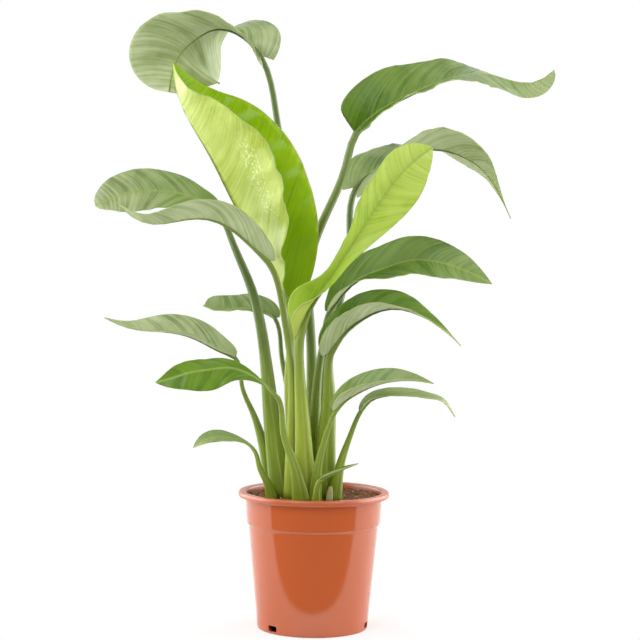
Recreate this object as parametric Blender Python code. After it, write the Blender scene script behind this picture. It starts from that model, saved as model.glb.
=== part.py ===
"""Potted bird of paradise: a plastic nursery pot, its soil, and sixteen leaves, each a stalk and a blade."""

import math
from typing import NamedTuple

import bmesh
import bpy
import numpy as np
from mathutils import Matrix, Vector

# Pot, all in metres
ROUND_STEPS = 40
WALL = 0.002
FLOOR = 0.003
BASE_RADIUS = 0.0771
BASE_ROUND = 0.0045
FILLET = 0.0012
STEP_Z = 0.1450
STEP_RADIUS = 0.0902
STEP_RISE = 0.0022
COLLAR_FOOT_RADIUS = 0.0928
COLLAR_TOP_RADIUS = 0.0955
LIP_BOTTOM = 0.1842
RIM_HEIGHT = 0.1915
RIM_RADIUS = 0.1050
RIM_ROUND = 0.0045
NOTCH_SIZE = (0.016, 0.020, 0.008)
NOTCH_Z = 0.0078
NOTCH_TURNS = (-135.0, -15.0, 105.0)

# Soil
GAP = 0.0003
SOIL_TOP = 0.1830
SOIL_SHOULDER = 0.0030
CLUMP_RADIUS = 0.069
CREST_RADIUS = 0.077
CREST_HEIGHT = 0.0015
DIP_RADIUS = 0.086
DIP_DEPTH = 0.0010
SOIL_WAVES = ((5, 0.0009), (11, 0.0006))

# Leaves
BLADE_THICK = 0.0012
BLADE_START = 0.0028
BLADE_TIP = 0.0010
JOINT_GAP = 0.0005
EVEN_OUT = 0.06
LEAST_CURL = 0.001
EAR_PLACE = 0.15
EAR_SPREAD = 0.12
STALK_SIDES = 10
STALK_STEPS = 8
FLAT_SHARE = 0.2
ROUND_SHARE = 0.6
SHEATH_FLARE = 0.6
SHEATH_HEIGHT = 0.20
MERGE = 0.00001

OLD_SHEATH_PLACE = (0.021, -0.047)
OLD_SHEATH_HEIGHT = 0.022
OLD_SHEATH_WIDTHS = (0.010, 0.009, 0.006)
OLD_SHEATH_DEPTHS = (0.006, 0.005, 0.003)


class Leaf(NamedTuple):
    """One leaf: lines run foot to neck and base to tip, and each triple is base, middle, tip."""

    name: str
    stalk: tuple
    stalk_widths: tuple
    foot_depth: float
    rib: tuple
    half_width: float
    widest: float
    roll: tuple
    fold: tuple
    curl: tuple
    lobe: float = 0.0
    base_power: float = 0.55
    tip_power: float = 0.9
    cells: tuple = (12, 6)
    ear: float = 0.0


LEAVES = (
    Leaf(
        "top_left",
        ((0.002, 0.028, 0), (-0.002, 0.038, 0.287), (-0.007, 0.046, 0.400), (-0.028, 0.054, 0.568),
         (-0.058, 0.054, 0.705)),
        (0.018, 0.012, 0.008), 0.010,
        ((-0.082, 0.050, 0.796), (-0.097, 0.050, 0.815), (-0.118, 0.048, 0.829), (-0.145, 0.046, 0.833),
         (-0.172, 0.044, 0.819), (-0.195, 0.041, 0.796), (-0.205, 0.038, 0.770), (-0.209, 0.035, 0.744)),
        0.072, 0.68, (87, -38, -88), (62, -8, 38), (0, 0, 0), 0.020, 0.20, 0.45,
    ),
    Leaf(
        "centre",
        ((-0.025, -0.002, 0), (-0.030, 0.000, 0.277), (-0.036, 0.002, 0.361)),
        (0.020, 0.014, 0.010), 0.010,
        ((-0.039, 0.004, 0.453), (-0.056, 0.005, 0.489), (-0.085, 0.005, 0.540), (-0.114, 0.005, 0.588),
         (-0.134, 0.005, 0.626), (-0.156, 0.005, 0.666), (-0.183, 0.005, 0.711), (-0.197, 0.005, 0.748),
         (-0.202, 0.005, 0.784)),
        0.110, 0.48, (45, 21, 26), (40, 62, 40), (0, 10, 0), 0, 0.55, 0.9, (14, 8),
    ),
    Leaf(
        "top_right",
        ((-0.022, 0.018, 0), (-0.028, 0.022, 0.316), (-0.028, 0.028, 0.414), (-0.018, 0.030, 0.484),
         (0.005, 0.036, 0.560), (0.039, 0.045, 0.644)),
        (0.018, 0.014, 0.010), 0.010,
        ((0.053, 0.050, 0.690), (0.072, 0.050, 0.711), (0.102, 0.055, 0.732), (0.146, 0.060, 0.754),
         (0.193, 0.065, 0.772), (0.237, 0.070, 0.777), (0.270, 0.075, 0.769), (0.306, 0.080, 0.767),
         (0.334, 0.090, 0.785)),
        0.052, 0.28, (-52, -21, -25), (42, 13, -65), (0, 0, 0), -0.013, 0.25, 0.5,
    ),
    Leaf(
        "upper_right_back",
        ((-0.007, 0.042, 0), (0.006, 0.058, 0.313), (0.030, 0.072, 0.440), (0.047, 0.080, 0.533)),
        (0.016, 0.012, 0.009), 0.010,
        ((0.055, 0.090, 0.614), (0.077, 0.095, 0.637), (0.114, 0.100, 0.659), (0.160, 0.110, 0.671),
         (0.204, 0.120, 0.663), (0.237, 0.125, 0.643), (0.261, 0.130, 0.611), (0.280, 0.130, 0.573)),
        0.052, 0.40, (-50, 20, 25), (20, 20, 15), (0, 0, 0), 0.02, 0.55, 2.2,
    ),
    Leaf(
        "upper_right",
        ((-0.011, -0.032, 0), (-0.016, -0.038, 0.280), (-0.021, -0.044, 0.350)),
        (0.020, 0.016, 0.012), 0.010,
        ((-0.021, -0.058, 0.409), (-0.017, -0.062, 0.430), (-0.008, -0.064, 0.452), (0.011, -0.065, 0.479),
         (0.032, -0.066, 0.511), (0.065, -0.068, 0.565), (0.097, -0.070, 0.613), (0.124, -0.072, 0.645),
         (0.154, -0.075, 0.668)),
        0.040, 0.76, (0, -112, -85), (75, 34, 20), (0, 0, 0), 0, 0.85, 0.7, (16, 6), 0.028,
    ),
    Leaf(
        "right",
        ((0.003, 0.005, 0), (0.000, 0.006, 0.291), (0.006, 0.007, 0.370), (0.012, 0.008, 0.410)),
        (0.016, 0.012, 0.008), 0.010,
        ((0.019, 0.010, 0.441), (0.028, 0.010, 0.455), (0.041, 0.010, 0.472), (0.065, 0.010, 0.490),
         (0.096, 0.005, 0.503), (0.132, 0.000, 0.514), (0.170, -0.010, 0.512), (0.211, -0.020, 0.499),
         (0.241, -0.025, 0.484)),
        0.036, 0.52, (-30, -48, -60), (55, 22, 10), (0, 0, 0), 0.01,
    ),
    Leaf(
        "middle_right",
        ((0.014, -0.013, 0), (0.017, -0.016, 0.278), (0.019, -0.019, 0.341)),
        (0.020, 0.018, 0.010), 0.010,
        ((0.021, -0.022, 0.385), (0.028, -0.025, 0.399), (0.042, -0.025, 0.417), (0.062, -0.030, 0.433),
         (0.082, -0.035, 0.444), (0.112, -0.040, 0.449), (0.145, -0.045, 0.439), (0.172, -0.050, 0.424),
         (0.198, -0.050, 0.400)),
        0.036, 0.34, (-15, -20, -40), (60, 40, 15), (0, 0, 0), 0.01, 0.55, 1.8,
    ),
    Leaf(
        "lower_right",
        ((0.002, -0.045, 0), (0.007, -0.050, 0.241), (0.017, -0.056, 0.280)),
        (0.012, 0.007, 0.005), 0.008,
        ((0.029, -0.060, 0.310), (0.036, -0.060, 0.319), (0.053, -0.065, 0.332), (0.079, -0.070, 0.345),
         (0.104, -0.075, 0.352), (0.135, -0.080, 0.354), (0.160, -0.085, 0.351)),
        0.024, 0.40, (-20, -25, -20), (55, 40, 20), (0, 0, 0), 0.005, 0.55, 0.9, (10, 4),
    ),
    Leaf(
        "lowest_right",
        ((0.028, -0.028, 0), (0.037, -0.026, 0.235), (0.050, -0.025, 0.274)),
        (0.014, 0.007, 0.005), 0.008,
        ((0.064, -0.025, 0.307), (0.076, -0.025, 0.321), (0.094, -0.030, 0.328), (0.127, -0.030, 0.330),
         (0.158, -0.035, 0.327), (0.176, -0.035, 0.322), (0.186, -0.035, 0.311), (0.193, -0.035, 0.301)),
        0.014, 0.40, (-20, -20, -10), (30, 20, 15), (0, 0, 0), 0.005, 0.55, 0.9, (10, 4),
    ),
    Leaf(
        "upper_left_back",
        ((-0.044, -0.010, 0), (-0.061, -0.005, 0.304), (-0.073, 0.000, 0.401), (-0.092, 0.008, 0.477),
         (-0.115, 0.015, 0.530)),
        (0.020, 0.016, 0.008), 0.010,
        ((-0.130, 0.020, 0.565), (-0.145, 0.020, 0.586), (-0.168, 0.020, 0.596), (-0.198, 0.015, 0.604),
         (-0.232, 0.010, 0.606), (-0.270, 0.000, 0.600), (-0.306, -0.010, 0.584)),
        0.034, 0.66, (50, 60, 50), (20, 10, 10), (0, 0, 0), 0.01, 0.55, 0.5,
    ),
    Leaf(
        "upper_left",
        ((-0.031, -0.020, 0), (-0.031, -0.028, 0.279), (-0.034, -0.040, 0.376), (-0.045, -0.050, 0.445)),
        (0.014, 0.010, 0.008), 0.010,
        ((-0.066, -0.060, 0.511), (-0.085, -0.065, 0.530), (-0.108, -0.070, 0.550), (-0.125, -0.075, 0.561),
         (-0.152, -0.080, 0.569), (-0.184, -0.080, 0.566), (-0.222, -0.080, 0.561), (-0.246, -0.080, 0.569),
         (-0.270, -0.080, 0.590)),
        0.032, 0.42, (-35, -20, -20), (50, 35, 20), (0, 0, 0), 0.01,
    ),
    Leaf(
        "left_back",
        ((-0.030, 0.042, 0), (-0.035, 0.046, 0.314), (-0.049, 0.051, 0.384)),
        (0.012, 0.008, 0.006), 0.008,
        ((-0.058, 0.055, 0.428), (-0.066, 0.058, 0.436), (-0.082, 0.062, 0.440), (-0.101, 0.068, 0.441),
         (-0.127, 0.075, 0.440), (-0.160, 0.085, 0.445)),
        0.025, 0.50, (30, 30, 30), (30, 28, 25), (0, 0, 0), 0.005, 0.45, 0.3, (10, 4),
    ),
    Leaf(
        "left",
        ((-0.050, 0.008, 0), (-0.069, 0.006, 0.247), (-0.088, 0.004, 0.303), (-0.102, 0.002, 0.338)),
        (0.022, 0.008, 0.006), 0.010,
        ((-0.112, 0.000, 0.376), (-0.130, 0.000, 0.384), (-0.158, -0.005, 0.398), (-0.185, -0.010, 0.408),
         (-0.215, -0.015, 0.412), (-0.255, -0.020, 0.416), (-0.291, -0.025, 0.431)),
        0.028, 0.40, (30, 30, 10), (40, 38, 20), (0, 0, 0), 0.0,
    ),
    Leaf(
        "lower_left",
        ((-0.017, -0.050, 0), (-0.029, -0.054, 0.240), (-0.043, -0.057, 0.282)),
        (0.016, 0.008, 0.006), 0.008,
        ((-0.050, -0.060, 0.326), (-0.060, -0.063, 0.338), (-0.074, -0.066, 0.350), (-0.092, -0.070, 0.361),
         (-0.115, -0.074, 0.368), (-0.142, -0.078, 0.366), (-0.172, -0.082, 0.361), (-0.193, -0.085, 0.354),
         (-0.215, -0.088, 0.348)),
        0.029, 0.62, (40, 48, 50), (-10, -20, -15), (0, 0, 0), 0.0, 1.5,
    ),
    Leaf(
        "lowest_left",
        ((-0.058, -0.022, 0), (-0.066, -0.024, 0.209), (-0.075, -0.026, 0.226)),
        (0.010, 0.006, 0.004), 0.006,
        ((-0.081, -0.026, 0.247), (-0.089, -0.028, 0.257), (-0.102, -0.030, 0.264), (-0.119, -0.033, 0.268),
         (-0.137, -0.036, 0.269), (-0.153, -0.040, 0.264), (-0.166, -0.044, 0.255)),
        0.012, 0.66, (50, 40, 30), (20, 15, 15), (0, 0, 0), 0.0, 1.1, 0.9, (8, 4),
    ),
    Leaf(
        "shoot",
        ((0.003, -0.060, 0), (0.004, -0.062, 0.201)),
        (0.008, 0.006, 0.005), 0.006,
        ((0.008, -0.064, 0.214), (0.019, -0.066, 0.221), (0.038, -0.070, 0.230), (0.060, -0.074, 0.240)),
        0.007, 0.40, (-10, -10, -10), (38, 34, 20), (0, 0, 0), 0, 0.55, 0.9, (8, 4),
    ),
)


def smooth_line(points, distances):
    """Points and unit tangents of a natural cubic spline, at distances counted along its chords."""
    points = np.array(points, float)
    steps = np.linalg.norm(np.diff(points, axis=0), axis=1)
    along = np.concatenate([[0.0], np.cumsum(steps)])
    count = len(points)
    system = np.eye(count)
    right = np.zeros((count, 3))
    slopes = np.diff(points, axis=0) / steps[:, None]
    for i in range(1, count - 1):
        system[i, i - 1 : i + 2] = (steps[i - 1], 2 * (steps[i - 1] + steps[i]), steps[i])
        right[i] = 6 * (slopes[i] - slopes[i - 1])
    bend = np.linalg.solve(system, right)
    at = np.asarray(distances)
    k = np.clip(np.searchsorted(along, at, side="right") - 1, 0, count - 2)
    h = steps[k][:, None]
    a = (along[k + 1][:, None] - at[:, None]) / h
    b = 1 - a
    place = a * points[k] + b * points[k + 1]
    place += ((a**3 - a) * bend[k] + (b**3 - b) * bend[k + 1]) * h**2 / 6
    slope = slopes[k] + ((3 * b**2 - 1) * bend[k + 1] - (3 * a**2 - 1) * bend[k]) * h / 6
    return place, slope / np.linalg.norm(slope, axis=1)[:, None]


def chord_length(points):
    return float(np.linalg.norm(np.diff(np.array(points, float), axis=0), axis=1).sum())


def centre_line(leaf):
    """The leaf's whole line from foot to tip, and the distance at which its neck lies."""
    stalk = [(x, y, z or SOIL_TOP + GAP) for x, y, z in leaf.stalk]
    return stalk + list(leaf.rib), chord_length(stalk + [leaf.rib[0]])


def through(triple, share):
    """The smooth value at this share of the way through base, middle and tip values."""
    base, middle, tip = triple
    start = (1 - share) * (1 - 2 * share)
    end = share * (2 * share - 1)
    return base * start + middle * (1 - start - end) + tip * end


def frames(tangents, rolls):
    """Side and upper directions along a line, from its heading on the level and its roll in radians."""
    heading = tangents.sum(axis=0)
    level = np.array([heading[0], heading[1], 0.0])
    side = np.cross(level / np.linalg.norm(level), [0.0, 0.0, 1.0])
    side = side - (tangents @ side)[:, None] * tangents
    side /= np.linalg.norm(side, axis=1)[:, None]
    upper = np.cross(side, tangents)
    turn, lift = np.cos(rolls)[:, None], np.sin(rolls)[:, None]
    return side * turn + upper * lift, upper * turn - side * lift


def half_width_at(leaf, share):
    """Distance from midrib to margin: rounded at the base, pointed at the tip."""
    power = math.log(0.5) / math.log(leaf.widest)
    swell = np.sin(np.pi * np.clip(share, 0.0, 1.0) ** power)
    blunt = np.where(share < leaf.widest, leaf.base_power, leaf.tip_power)
    least = BLADE_START + (BLADE_TIP - BLADE_START) * share
    ear = leaf.ear * np.exp(-(((share - EAR_PLACE) / EAR_SPREAD) ** 2))
    return np.sqrt((leaf.half_width * np.clip(swell, 0.0, 1.0) ** blunt) ** 2 + least**2) + ear


def blade_points(leaf, shares, across):
    """Points of the blade's middle surface, for shares along the midrib and -1 to 1 across it."""
    line, neck = centre_line(leaf)
    start = neck + JOINT_GAP / 2
    centre, tangent = smooth_line(line, start + shares * (chord_length(line) - start))
    rolls = np.radians(through(leaf.roll, shares))
    side, upper = frames(tangent, rolls)
    width = half_width_at(leaf, shares)
    fold = np.radians(through(leaf.fold, shares))
    curl = np.radians(through(leaf.curl, shares))
    curl = np.where(np.abs(curl) < LEAST_CURL, LEAST_CURL, curl)
    out = np.abs(across)
    over = width * (np.sin(fold + curl * out) - np.sin(fold)) / curl
    rise = width * (np.cos(fold) - np.cos(fold + curl * out)) / curl
    back = leaf.lobe * out**2 * (1 - shares) ** 3 * (1 - BLADE_START / width)
    return (
        centre
        + (np.sign(across) * over)[:, None] * side
        + rise[:, None] * upper
        - back[:, None] * tangent
    )


def plain_material(name, colour, roughness):
    material = bpy.data.materials.new(name)
    material.use_nodes = True
    shader = material.node_tree.nodes["Principled BSDF"]
    shader.inputs["Base Color"].default_value = (*colour, 1.0)
    shader.inputs["Roughness"].default_value = roughness
    return material


def add_object(name, bm, colour, roughness):
    mesh = bpy.data.meshes.new(name)
    bmesh.ops.recalc_face_normals(bm, faces=bm.faces)
    bm.to_mesh(mesh)
    bm.free()
    mesh.materials.append(plain_material(name + "_finish", colour, roughness))
    mesh.shade_smooth()
    piece = bpy.data.objects.new(name, mesh)
    bpy.context.scene.collection.objects.link(piece)
    return piece


def spun(profile, steps):
    """A closed body from a profile of (radius, height) that starts and ends on the axis."""
    bm = bmesh.new()
    verts = [bm.verts.new((r, 0.0, z)) for r, z in profile]
    edges = [bm.edges.new(pair) for pair in zip(verts, verts[1:])]
    bmesh.ops.spin(
        bm, geom=verts + edges, cent=(0, 0, 0), axis=(0, 0, 1), angle=2 * math.pi, steps=steps
    )
    bmesh.ops.remove_doubles(bm, verts=bm.verts, dist=MERGE)
    return bm


def build_pot():
    """The pot's shell, turned from its profile, with three notches cut in its bottom edge."""
    inner_step = STEP_RADIUS - WALL
    profile = (
        (0.0, 0.0), (BASE_RADIUS - BASE_ROUND, 0.0), (BASE_RADIUS - FILLET, FILLET),
        (BASE_RADIUS, BASE_ROUND), (STEP_RADIUS, STEP_Z - FILLET),
        (STEP_RADIUS + FILLET / 2, STEP_Z), (COLLAR_FOOT_RADIUS, STEP_Z + STEP_RISE),
        (COLLAR_TOP_RADIUS, LIP_BOTTOM - FILLET), (COLLAR_TOP_RADIUS + FILLET, LIP_BOTTOM),
        (RIM_RADIUS - 2 * FILLET, LIP_BOTTOM), (RIM_RADIUS - FILLET / 2, LIP_BOTTOM + FILLET),
        (RIM_RADIUS, LIP_BOTTOM + 3 * FILLET), (RIM_RADIUS - FILLET, RIM_HEIGHT - FILLET),
        (RIM_RADIUS - RIM_ROUND, RIM_HEIGHT), (COLLAR_TOP_RADIUS, RIM_HEIGHT),
        (COLLAR_TOP_RADIUS - FILLET, RIM_HEIGHT - FILLET),
        (COLLAR_TOP_RADIUS - WALL, LIP_BOTTOM - FILLET),
        (COLLAR_FOOT_RADIUS - WALL, STEP_Z + STEP_RISE), (inner_step, STEP_Z - FILLET),
        (BASE_RADIUS - WALL, BASE_ROUND + FLOOR), (BASE_RADIUS - BASE_ROUND - WALL, FLOOR),
        (0.0, FLOOR),
    )
    pot = add_object("pot", spun(profile, ROUND_STEPS), (0.62, 0.19, 0.075), 0.25)
    for number, turn in enumerate(NOTCH_TURNS):
        angle = math.radians(turn)
        bm = bmesh.new()
        bmesh.ops.create_cube(bm, size=1.0, matrix=Matrix.Diagonal((*NOTCH_SIZE, 1.0)))
        cutter = add_object(f"notch_cutter_{number}", bm, (0.1, 0.1, 0.1), 0.5)
        cutter.location = (BASE_RADIUS * math.cos(angle), BASE_RADIUS * math.sin(angle), NOTCH_Z)
        cutter.rotation_euler.z = angle + math.pi / 2
        cutter.hide_render = True
        cutter.display_type = "WIRE"
        cut = pot.modifiers.new(f"notch_{number}", "BOOLEAN")
        cut.operation = "DIFFERENCE"
        cut.solver = "EXACT"
        cut.object = cutter


def build_soil():
    """The plug of soil: level under the clump and uneven round it."""
    inner_base = BASE_RADIUS - WALL - GAP
    inner_step = STEP_RADIUS - WALL - GAP
    low = BASE_ROUND + FLOOR
    profile = (
        (0.0, FLOOR + GAP), (inner_base - BASE_ROUND, FLOOR + GAP), (inner_base, low + GAP),
        (inner_step, STEP_Z - FILLET), (COLLAR_FOOT_RADIUS - WALL - GAP, STEP_Z + STEP_RISE + GAP),
        (COLLAR_TOP_RADIUS - WALL - 2 * GAP, SOIL_TOP - SOIL_SHOULDER),
        (DIP_RADIUS, SOIL_TOP - DIP_DEPTH), (CREST_RADIUS, SOIL_TOP + CREST_HEIGHT),
        (CLUMP_RADIUS, SOIL_TOP), (0.0, SOIL_TOP),
    )
    bm = spun(profile, ROUND_STEPS)
    for vert in bm.verts:
        if vert.co.z > SOIL_TOP - 2 * DIP_DEPTH and vert.co.xy.length > CLUMP_RADIUS + GAP:
            angle = math.atan2(vert.co.y, vert.co.x)
            vert.co.z += sum(height * math.sin(count * angle) for count, height in SOIL_WAVES)
    add_object("soil", bm, (0.09, 0.05, 0.03), 0.95)


def swept(places, tangents, widths, depths):
    """A closed body of bridged elliptical rings, their wide way along X."""
    bm = bmesh.new()
    rings = []
    for place, tangent, width, depth in zip(places, tangents, widths, depths):
        along = Vector(tangent)
        across = Vector((1, 0, 0))
        across = (across - across.dot(along) * along).normalized()
        turn = Matrix((across * width / 2, along.cross(across) * depth / 2, along)).transposed()
        made = bmesh.ops.create_circle(
            bm, segments=STALK_SIDES, radius=1.0, matrix=Matrix.Translation(place) @ turn.to_4x4()
        )
        rings.append({edge for vert in made["verts"] for edge in vert.link_edges})
    for low, high in zip(rings, rings[1:]):
        bmesh.ops.bridge_loops(bm, edges=list(low | high))
    bmesh.ops.holes_fill(bm, edges=list(rings[0] | rings[-1]))
    return bm


def build_stalk(leaf):
    """A tapering stalk from its flattened foot, level on the soil, to its round neck."""
    line, neck = centre_line(leaf)
    shares = np.linspace(0.0, 1.0, STALK_STEPS)
    places, tangents = smooth_line(line, shares * (neck - JOINT_GAP / 2))
    tangents[0] = (0.0, 0.0, 1.0)
    widths = through(leaf.stalk_widths, shares)
    flatness = np.clip((ROUND_SHARE - shares) / (ROUND_SHARE - FLAT_SHARE), 0.0, 1.0)
    depths = widths + (leaf.foot_depth - widths) * flatness
    widths *= 1.0 + SHEATH_FLARE * np.clip(1.0 - shares * neck / SHEATH_HEIGHT, 0.0, 1.0)
    bm = swept(places, tangents, widths, depths)
    add_object("stalk_" + leaf.name, bm, (0.20, 0.36, 0.06), 0.4)


def build_old_sheath():
    """The stub of a dead sheath that stands at the front of the clump."""
    foot = SOIL_TOP + GAP
    x, y = OLD_SHEATH_PLACE
    places = [(x, y, foot), (x + 0.001, y, foot + 0.012), (x + 0.002, y, foot + OLD_SHEATH_HEIGHT)]
    bm = swept(places, [(0, 0, 1)] * len(places), OLD_SHEATH_WIDTHS, OLD_SHEATH_DEPTHS)
    add_object("old_sheath", bm, (0.45, 0.42, 0.20), 0.8)


def build_blade(leaf):
    """A blade: a grid bent to the midrib, fold and curl, then given its thickness."""
    along, across = leaf.cells
    bm = bmesh.new()
    bmesh.ops.create_grid(bm, x_segments=along, y_segments=across, size=1.0)
    flat = np.array([vert.co[:] for vert in bm.verts])
    shares = (flat[:, 0] + 1) / 2
    shares = shares - EVEN_OUT * np.sin(2 * math.pi * shares)
    for vert, place in zip(bm.verts, blade_points(leaf, shares, flat[:, 1])):
        vert.co = place
    piece = add_object("blade_" + leaf.name, bm, (0.10, 0.25, 0.02), 0.35)
    thicken = piece.modifiers.new("thickness", "SOLIDIFY")
    thicken.thickness = BLADE_THICK
    thicken.offset = 0.0


def main():
    for old in list(bpy.data.objects):
        bpy.data.objects.remove(old)
    build_pot()
    build_soil()
    build_old_sheath()
    for leaf in LEAVES:
        build_stalk(leaf)
        build_blade(leaf)


main()
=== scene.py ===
"""Finished looks for a potted bird of paradise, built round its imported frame."""

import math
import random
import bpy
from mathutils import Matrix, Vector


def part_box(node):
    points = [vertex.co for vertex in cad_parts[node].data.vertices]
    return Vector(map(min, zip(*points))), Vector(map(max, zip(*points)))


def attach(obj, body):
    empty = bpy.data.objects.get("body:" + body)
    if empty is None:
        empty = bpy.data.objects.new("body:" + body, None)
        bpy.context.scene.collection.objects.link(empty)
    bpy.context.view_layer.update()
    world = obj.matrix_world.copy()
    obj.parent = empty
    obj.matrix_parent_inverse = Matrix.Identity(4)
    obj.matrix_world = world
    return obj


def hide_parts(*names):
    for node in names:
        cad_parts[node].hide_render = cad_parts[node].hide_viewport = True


bl_info = {
    "name": "Potted bird of paradise",
    "version": (1, 0, 0),
    "blender": (4, 5, 0),
    "location": "View3D > Sidebar > Plant",
    "description": "Builds the leaves, stalks, soil, pot and studio of a potted bird of paradise",
    "category": "Object",
}

from typing import NamedTuple

import bmesh
import bpy
import numpy as np
from mathutils import Matrix, Vector, noise

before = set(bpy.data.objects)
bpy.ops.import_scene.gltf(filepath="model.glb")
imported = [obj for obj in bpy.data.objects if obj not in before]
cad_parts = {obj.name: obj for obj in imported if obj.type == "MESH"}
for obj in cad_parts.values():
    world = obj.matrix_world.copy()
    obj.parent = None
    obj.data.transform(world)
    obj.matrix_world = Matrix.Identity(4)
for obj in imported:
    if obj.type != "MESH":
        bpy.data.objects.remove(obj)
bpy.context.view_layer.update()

# Pot and soil, all in metres
ROUND_STEPS = 160
WALL = 0.002
FLOOR = 0.003
BASE_RADIUS = 0.0771
BASE_ROUND = 0.0045
STEP_Z = 0.1450
STEP_RADIUS = 0.0902
COLLAR_FOOT_RADIUS = 0.0928
COLLAR_TOP_RADIUS = 0.0955
LIP_BOTTOM = 0.1842
RIM_HEIGHT = 0.1915
RIM_RADIUS = 0.1050
NOTCH_SIZE = (0.016, 0.020, 0.008)
NOTCH_Z = 0.0078
NOTCH_TURNS = (-135.0, -15.0, 105.0)
NOTCH_SHARP = 0.7
NOTCH_RING = 0.016
GAP = 0.0003
SOIL_TOP = 0.1830

# Leaves
BLADE_START = 0.0028
BLADE_TIP = 0.0006
FRAME_FIT = 0.015
EAR_PLACE = 0.15
EAR_SPREAD = 0.12
VEIN_SWEEP = 0.30
FULL_GRAIN_WIDTH = 0.022
FLAT_SHARE = 0.2
ROUND_SHARE = 0.6
SHEATH_FLARE = 0.65
SHEATH_HEIGHT = 0.20


class Leaf(NamedTuple):
    """One leaf: lines run foot to neck and base to tip, and each triple is base, middle, tip."""

    name: str
    stalk: tuple
    stalk_widths: tuple
    foot_depth: float
    rib: tuple
    half_width: float
    widest: float
    roll: tuple
    fold: tuple
    curl: tuple
    lobe: float = 0.0
    base_power: float = 0.55
    tip_power: float = 0.9
    cells: tuple = (12, 6)
    ear: float = 0.0


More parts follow.
